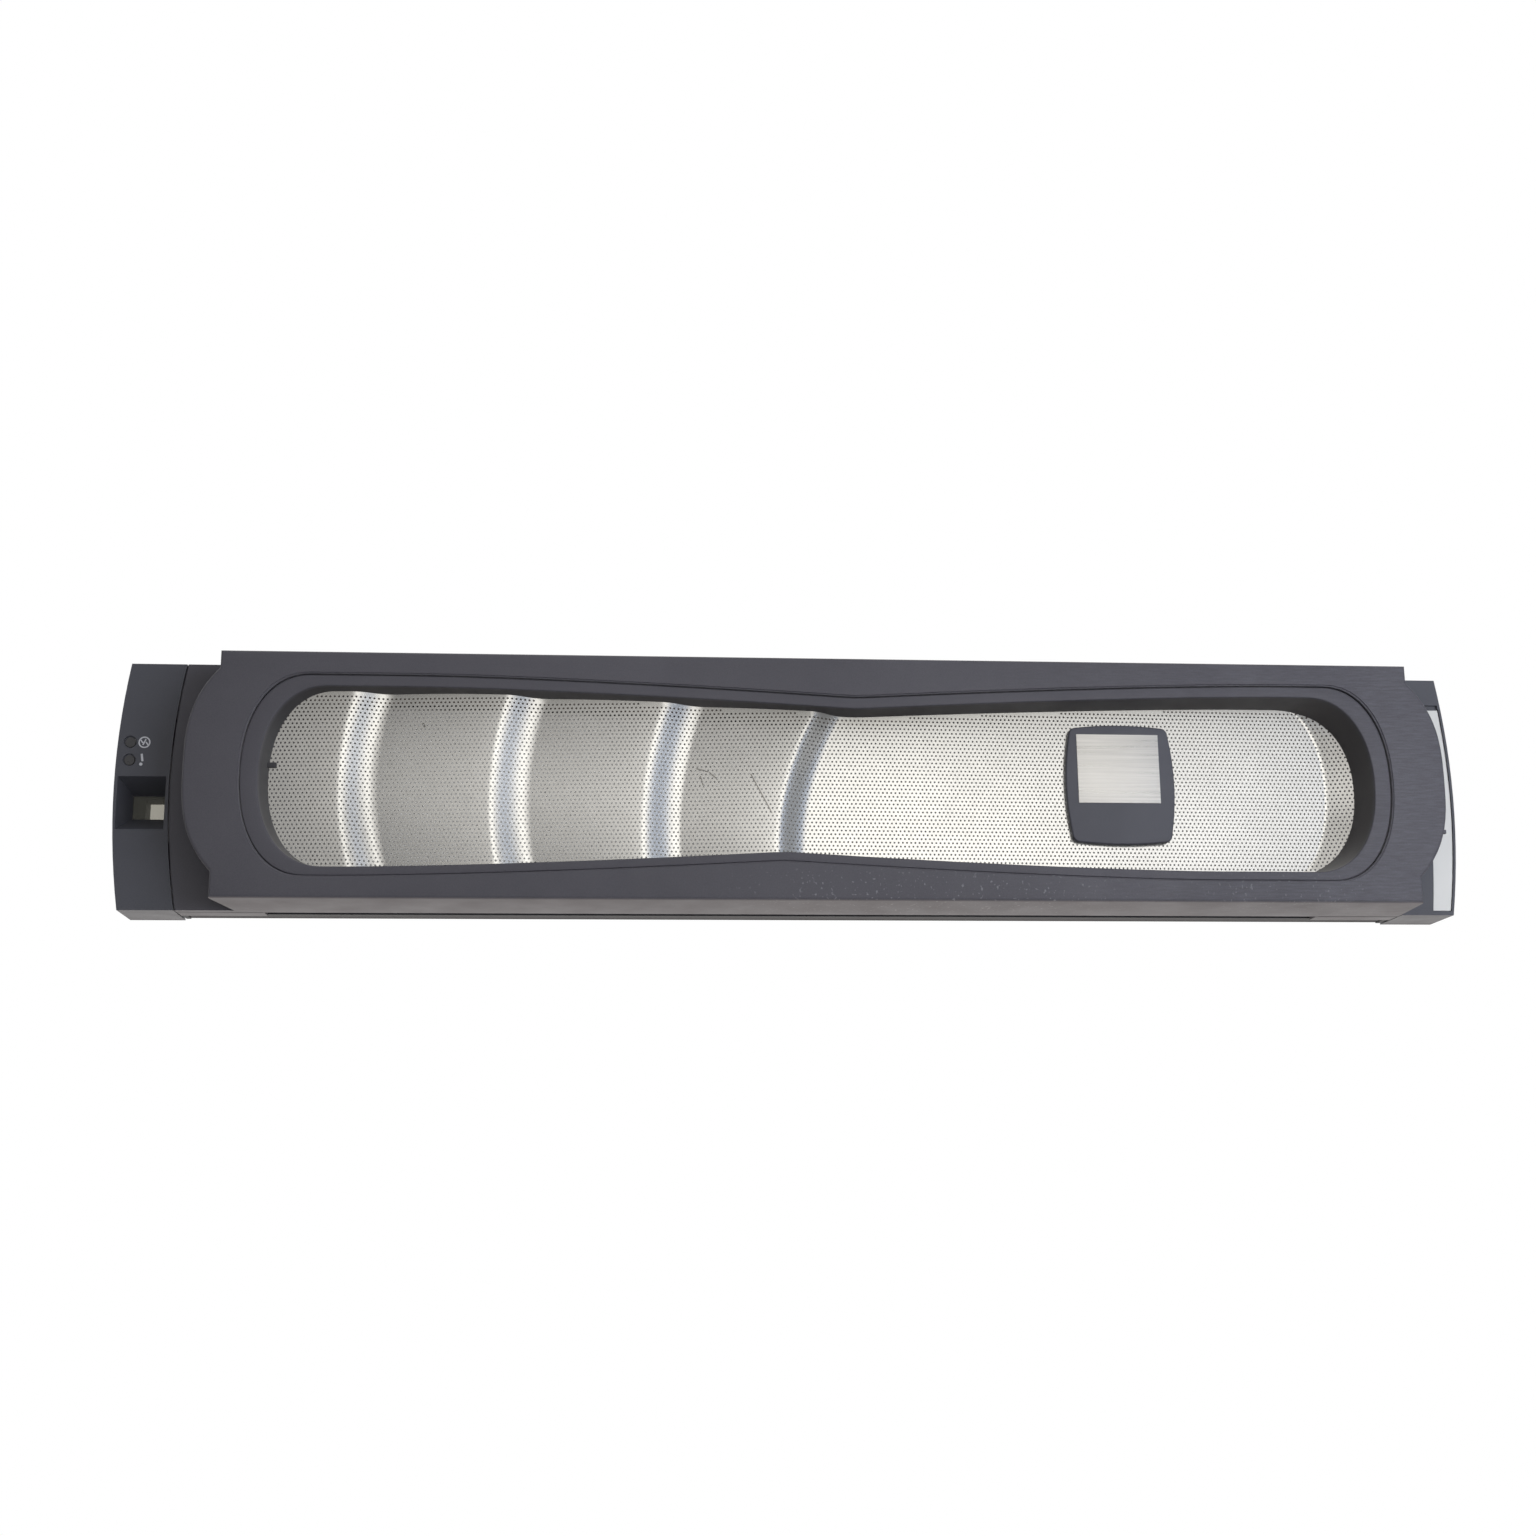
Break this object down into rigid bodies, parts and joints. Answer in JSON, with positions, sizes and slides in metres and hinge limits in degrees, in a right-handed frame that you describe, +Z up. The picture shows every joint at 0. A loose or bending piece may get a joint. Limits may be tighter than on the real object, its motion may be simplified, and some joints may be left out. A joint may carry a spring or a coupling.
{
  "type": "server front bezel",
  "caption": "Front bezel for a rack server: raised shell with rounded shoulders, waisted opening, rippled perforated grille, badge, end caps with window, status lights and label strip.",
  "frame": {"origin": "middle of the footprint, at the bottom; y = 0 of the source is the front face of the end caps", "axes": "+X along the bezel to its right as seen from the front, +Y from front to back, +Z up"},
  "size_m": [0.4826, 0.044, 0.0884],
  "materials": {
    "shell_paint": "satin, very finely speckled dark grey",
    "surround_paint": "satin dark grey, as the shell",
    "perforated_sheet": "satin, pale silver",
    "black_moulding": "matt black",
    "screw_steel": "zinc-plated",
    "badge_moulding": "semi-gloss dark grey",
    "badge_metal": "brushed along the bezel",
    "foam_tape": "matt foam",
    "cap_paint": "satin dark grey",
    "label_film": "matt pale film",
    "smoked_lens": "clear olive-grey",
    "pipe_plastic": "smoky, unlit",
    "carrier_moulding": "matt near-black",
    "socket_nylon": "natural nylon"
  },
  "bodies": {
    "root": {"front_shell": "shell_paint", "grille_surround": "surround_paint", "grille": "perforated_sheet", "grille_retainer": "black_moulding", "retainer_screws": "screw_steel", "badge_plaque": "badge_moulding", "badge_plate": "badge_metal", "badge_tape": "foam_tape", "end_cap_left": "cap_paint", "end_cap_right": "cap_paint", "label_strip": "label_film", "display_lens": "smoked_lens", "display_shroud": "black_moulding", "light_pipe_power": "pipe_plastic", "light_pipe_attention": "pipe_plastic", "light_pipe_holder": "black_moulding", "holder_screw": "screw_steel", "rear_carrier": "carrier_moulding", "shell_screws": "screw_steel", "cap_screws": "screw_steel", "stud_socket_upper_left": "socket_nylon", "stud_socket_lower_left": "socket_nylon", "stud_socket_upper_right": "socket_nylon", "stud_socket_lower_right": "socket_nylon"}
  },
  "joints": []
}
